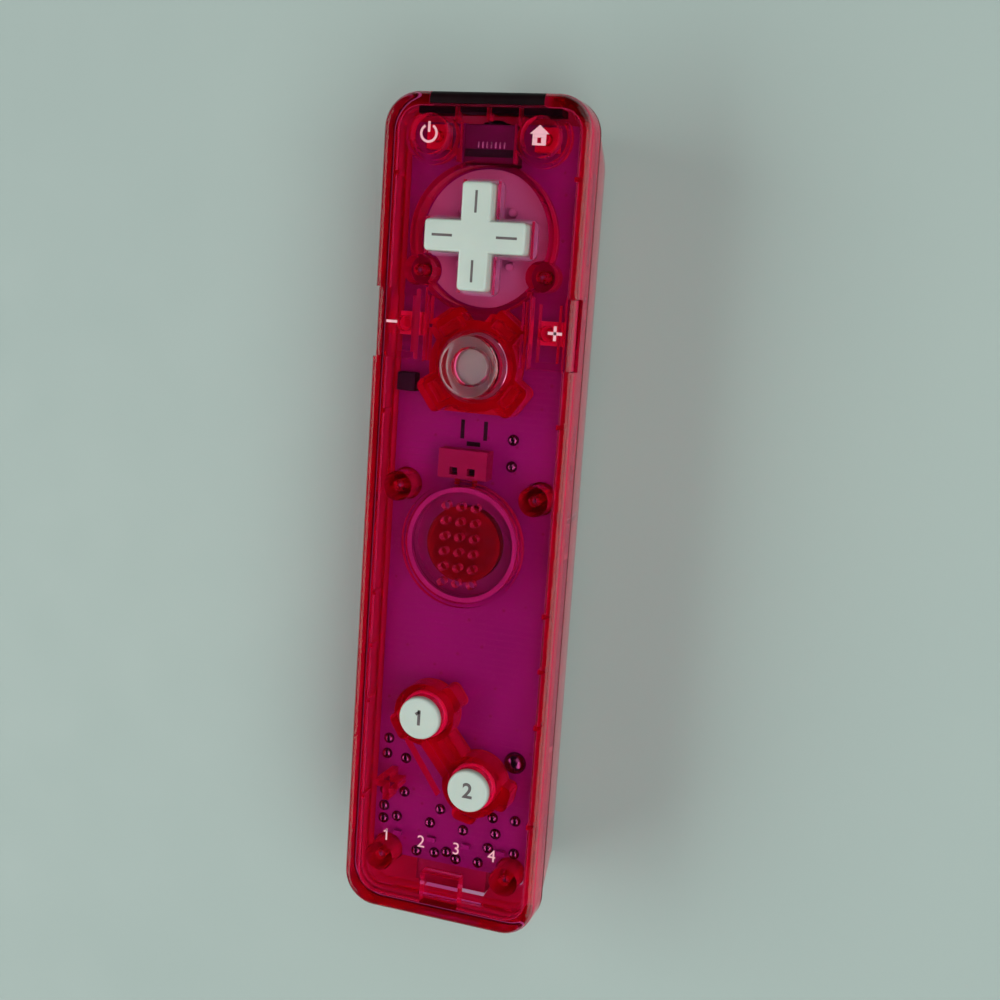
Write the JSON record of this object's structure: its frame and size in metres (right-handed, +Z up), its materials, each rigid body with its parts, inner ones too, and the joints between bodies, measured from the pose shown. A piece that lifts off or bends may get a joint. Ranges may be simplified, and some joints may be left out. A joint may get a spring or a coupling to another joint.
{
  "type": "motion controller wand",
  "caption": "Hand-held motion controller wand in clear pink-red plastic, with a direction cross, press keys, a speaker grille, a back trigger and a battery door.",
  "frame": {"origin": "under the middle of the body, on the plane that the flat back rests on", "axes": "+Z up through the key face, +Y out of the infrared window end, +X to the right seen from above the keys"},
  "size_m": [0.036, 0.1432, 0.0268],
  "materials": {
    "shell_plastic": "clear pink-red moulded plastic, polished",
    "dark_plastic": "near-black infrared-pass plastic, polished",
    "white_plastic": "cool white moulded plastic, satin",
    "clear_plastic": "clear colourless plastic, polished",
    "board_laminate": "purple solder mask over laminate, satin",
    "black_parts": "black moulded component bodies, matte",
    "red_plastic": "red moulded plastic, satin",
    "red_silicone": "red silicone, soft satin",
    "pale_silicone": "pale translucent silicone, soft satin",
    "lead_wire": "insulated wire, satin",
    "steel": "plain steel, satin",
    "brass": "bright brass",
    "cell_jacket": "printed metal jacket, plain"
  },
  "bodies": {
    "body": {"front_shell": "shell_plastic", "rear_shell": "shell_plastic", "ir_window": "dark_plastic", "ir_camera": "dark_plastic", "camera_lens": "dark_plastic", "player_lamps": "white_plastic", "speaker_cone": "clear_plastic", "speaker_frame": "clear_plastic", "main_board": "board_laminate", "main_chip": "black_parts", "power_coil": "black_parts", "board_parts": "black_parts", "sync_switch": "black_parts", "speaker_magnet": "black_parts", "touch_switches": "red_plastic", "speaker_plug": "red_plastic", "expansion_port": "red_plastic", "a_membrane": "red_silicone", "number_membrane": "red_silicone", "trigger_dome": "red_silicone", "dpad_membrane": "pale_silicone", "speaker_leads": "lead_wire", "radio_shield": "steel", "solder_points": "steel", "clock_crystal": "steel", "rumble_motor": "steel", "case_screws": "steel", "trigger_pin": "steel", "cell_bridge": "steel", "cell_terminals": "steel", "cell_springs": "steel", "port_contacts": "brass", "cell_left": "cell_jacket", "cell_right": "cell_jacket"},
    "pivot": {"dpad_pivot": "steel"},
    "dpad": {"dpad": "white_plastic"},
    "a_key": {"a_button": "clear_plastic"},
    "power_key": {"power_button": "shell_plastic", "power_plunger": "red_plastic"},
    "home_key": {"home_button": "shell_plastic", "home_plunger": "red_plastic"},
    "minus_key": {"minus_button": "shell_plastic", "minus_plunger": "red_plastic"},
    "plus_key": {"plus_button": "shell_plastic", "plus_plunger": "red_plastic"},
    "one_key": {"one_button": "white_plastic"},
    "two_key": {"two_button": "white_plastic"},
    "trigger": {"b_trigger": "shell_plastic"},
    "door": {"battery_door": "shell_plastic"},
    "sync_key": {"sync_button": "red_plastic", "sync_plunger": "red_plastic"},
    "rumble": {"rumble_shaft": "steel", "rumble_weight": "brass"}
  },
  "joints": [
    {"name": "dpad_pitch", "type": "hinge", "parent": "body", "child": "pivot", "pos_m": [0, 0.0484, 0.0207], "axis": [1, 0, 0], "range_deg": [-4, 4], "stiffness_Nm_per_rad": 0.02, "deforming": ["dpad_membrane"]},
    {"name": "dpad_roll", "type": "hinge", "parent": "pivot", "child": "dpad", "pos_m": [0, 0.0484, 0.0207], "axis": [0, 1, 0], "range_deg": [-4, 4], "stiffness_Nm_per_rad": 0.02, "deforming": ["dpad_membrane"]},
    {"name": "a_press", "type": "slide", "parent": "body", "child": "a_key", "axis": [0, 0, -1], "range_m": [0, 0.0009], "stiffness_N_per_m": 300, "springref_m": -0.001, "deforming": ["a_membrane"]},
    {"name": "power_press", "type": "slide", "parent": "body", "child": "power_key", "axis": [0, 0, -1], "range_m": [0, 0.0005], "stiffness_N_per_m": 300, "springref_m": -0.001},
    {"name": "home_press", "type": "slide", "parent": "body", "child": "home_key", "axis": [0, 0, -1], "range_m": [0, 0.0005], "stiffness_N_per_m": 300, "springref_m": -0.001},
    {"name": "minus_press", "type": "slide", "parent": "body", "child": "minus_key", "axis": [0, 0, -1], "range_m": [0, 0.0005], "stiffness_N_per_m": 300, "springref_m": -0.001},
    {"name": "plus_press", "type": "slide", "parent": "body", "child": "plus_key", "axis": [0, 0, -1], "range_m": [0, 0.0005], "stiffness_N_per_m": 300, "springref_m": -0.001},
    {"name": "one_press", "type": "slide", "parent": "body", "child": "one_key", "axis": [0, 0, -1], "range_m": [0, 0.0009], "stiffness_N_per_m": 300, "springref_m": -0.001, "deforming": ["number_membrane"]},
    {"name": "two_press", "type": "slide", "parent": "body", "child": "two_key", "axis": [0, 0, -1], "range_m": [0, 0.0009], "stiffness_N_per_m": 300, "springref_m": -0.001, "deforming": ["number_membrane"]},
    {"name": "trigger_pull", "type": "hinge", "parent": "body", "child": "trigger", "pos_m": [0, 0.0368, 0.0092], "axis": [-1, 0, 0], "range_deg": [0, 6], "stiffness_Nm_per_rad": 0.05, "springref_deg": -5.73, "deforming": ["trigger_dome"]},
    {"name": "door_lift", "type": "slide", "parent": "body", "child": "door", "axis": [0, 0, -1], "range_m": [0, 0.03]},
    {"name": "sync_press", "type": "slide", "parent": "body", "child": "sync_key", "axis": [0, 0, 1], "range_m": [0, 0.0004], "stiffness_N_per_m": 300, "springref_m": -0.001},
    {"name": "rumble_spin", "type": "hinge", "parent": "body", "child": "rumble", "pos_m": [0, 0.0112, 0.0075], "axis": [1, 0, 0], "continuous": true}
  ]
}
